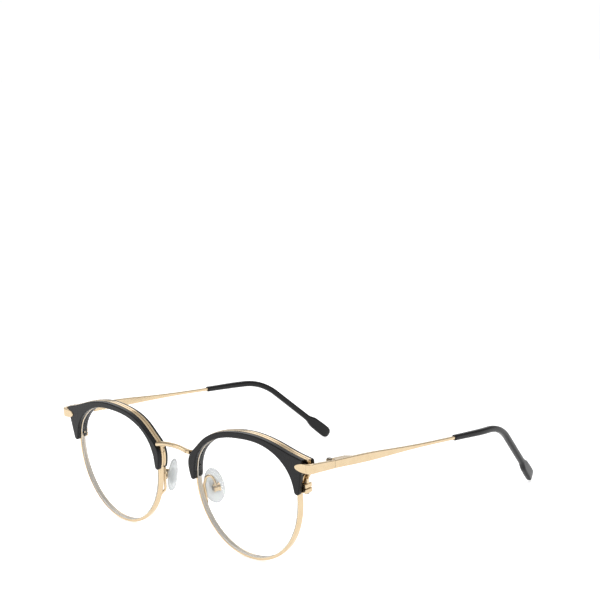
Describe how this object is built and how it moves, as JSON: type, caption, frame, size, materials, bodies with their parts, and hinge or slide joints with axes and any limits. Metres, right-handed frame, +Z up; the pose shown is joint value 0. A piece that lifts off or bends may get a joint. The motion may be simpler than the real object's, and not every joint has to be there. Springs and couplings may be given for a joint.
{
  "type": "half rim eyeglasses",
  "caption": "Browline eyeglasses: metal rims and bridge, acetate brow pieces on the upper rims, clear lenses, adjustable nose pads and sprung folding temples.",
  "frame": {"origin": "on the surface that the glasses stand on with open temples, under the middle of their box", "axes": "+X to the wearer's left, +Y back along the temples, +Z up; the lenses face -Y"},
  "size_m": [0.1376, 0.144, 0.0472],
  "materials": {
    "gold_metal": "polished plating",
    "screw_steel": "turned",
    "black_acetate": "satin",
    "lens_resin": "clear",
    "silicone": "clear, soft",
    "pad_insert": "clear"
  },
  "bodies": {
    "front": {"bridge": "gold_metal", "rim_left": "gold_metal", "lens_left": "lens_resin", "closing_block_upper_left": "gold_metal", "closing_block_lower_left": "gold_metal", "rim_screw_left": "screw_steel", "brow_screws_left": "screw_steel", "brow_back_left": "black_acetate", "end_piece_left": "gold_metal", "brow_plate_left": "gold_metal", "brow_front_left": "black_acetate", "pad_box_left": "gold_metal", "pad_screw_left": "screw_steel", "pad_arm_left": "gold_metal", "rim_right": "gold_metal", "lens_right": "lens_resin", "closing_block_upper_right": "gold_metal", "closing_block_lower_right": "gold_metal", "rim_screw_right": "screw_steel", "brow_screws_right": "screw_steel", "brow_back_right": "black_acetate", "end_piece_right": "gold_metal", "brow_plate_right": "gold_metal", "brow_front_right": "black_acetate", "pad_box_right": "gold_metal", "pad_screw_right": "screw_steel", "pad_arm_right": "gold_metal"},
    "hinge_screw_left": {"hinge_screw_left": "screw_steel"},
    "slider_left": {"hinge_slider_left": "screw_steel"},
    "temple_left": {"temple_left": "gold_metal", "temple_tip_left": "black_acetate", "spring_box_left": "gold_metal", "spring_retainer_left": "screw_steel", "hinge_spring_left": "screw_steel"},
    "pad_left": {"nose_pad_left": "silicone", "pad_core_left": "pad_insert"},
    "hinge_screw_right": {"hinge_screw_right": "screw_steel"},
    "slider_right": {"hinge_slider_right": "screw_steel"},
    "temple_right": {"temple_right": "gold_metal", "temple_tip_right": "black_acetate", "spring_box_right": "gold_metal", "spring_retainer_right": "screw_steel", "hinge_spring_right": "screw_steel"},
    "pad_right": {"nose_pad_right": "silicone", "pad_core_right": "pad_insert"}
  },
  "joints": [
    {"name": "left_temple_fold", "type": "hinge", "parent": "front", "child": "hinge_screw_left", "pos_m": [0.0656, -0.05744, 0.03816], "axis": [0, -0.0749, -0.9972], "range_deg": [-87, 0]},
    {"name": "left_temple_flex", "type": "hinge", "parent": "hinge_screw_left", "child": "slider_left", "pos_m": [0.0656, -0.05744, 0.03816], "axis": [0, -0.0749, -0.9972], "range_deg": [0, 12], "stiffness_Nm_per_rad": 0.15, "springref_deg": -11.46},
    {"name": "left_temple_draw", "type": "slide", "parent": "slider_left", "child": "temple_left", "axis": [0, 0.9972, -0.0749], "range_m": [0, 0.0006], "deforming": ["hinge_spring_left"]},
    {"name": "left_pad_rock", "type": "hinge", "parent": "front", "child": "pad_left", "pos_m": [0.01396, -0.06281, 0.02146], "axis": [0.4288, 0.8923, 0.1412], "range_deg": [-12, 12]},
    {"name": "right_temple_fold", "type": "hinge", "parent": "front", "child": "hinge_screw_right", "pos_m": [-0.0656, -0.05744, 0.03816], "axis": [0, 0.0749, 0.9972], "range_deg": [-80, 0]},
    {"name": "right_temple_flex", "type": "hinge", "parent": "hinge_screw_right", "child": "slider_right", "pos_m": [-0.0656, -0.05744, 0.03816], "axis": [0, 0.0749, 0.9972], "range_deg": [0, 12], "stiffness_Nm_per_rad": 0.15, "springref_deg": -11.46},
    {"name": "right_temple_draw", "type": "slide", "parent": "slider_right", "child": "temple_right", "axis": [0, 0.9972, -0.0749], "range_m": [0, 0.0006], "deforming": ["hinge_spring_right"]},
    {"name": "right_pad_rock", "type": "hinge", "parent": "front", "child": "pad_right", "pos_m": [-0.01396, -0.06281, 0.02146], "axis": [-0.4288, 0.8923, 0.1412], "range_deg": [-12, 12]}
  ],
  "couplings": [
    {"joint": "left_temple_draw", "follows": "left_temple_flex", "m_per_rad": 0.0028},
    {"joint": "right_temple_draw", "follows": "right_temple_flex", "m_per_rad": 0.0028}
  ]
}
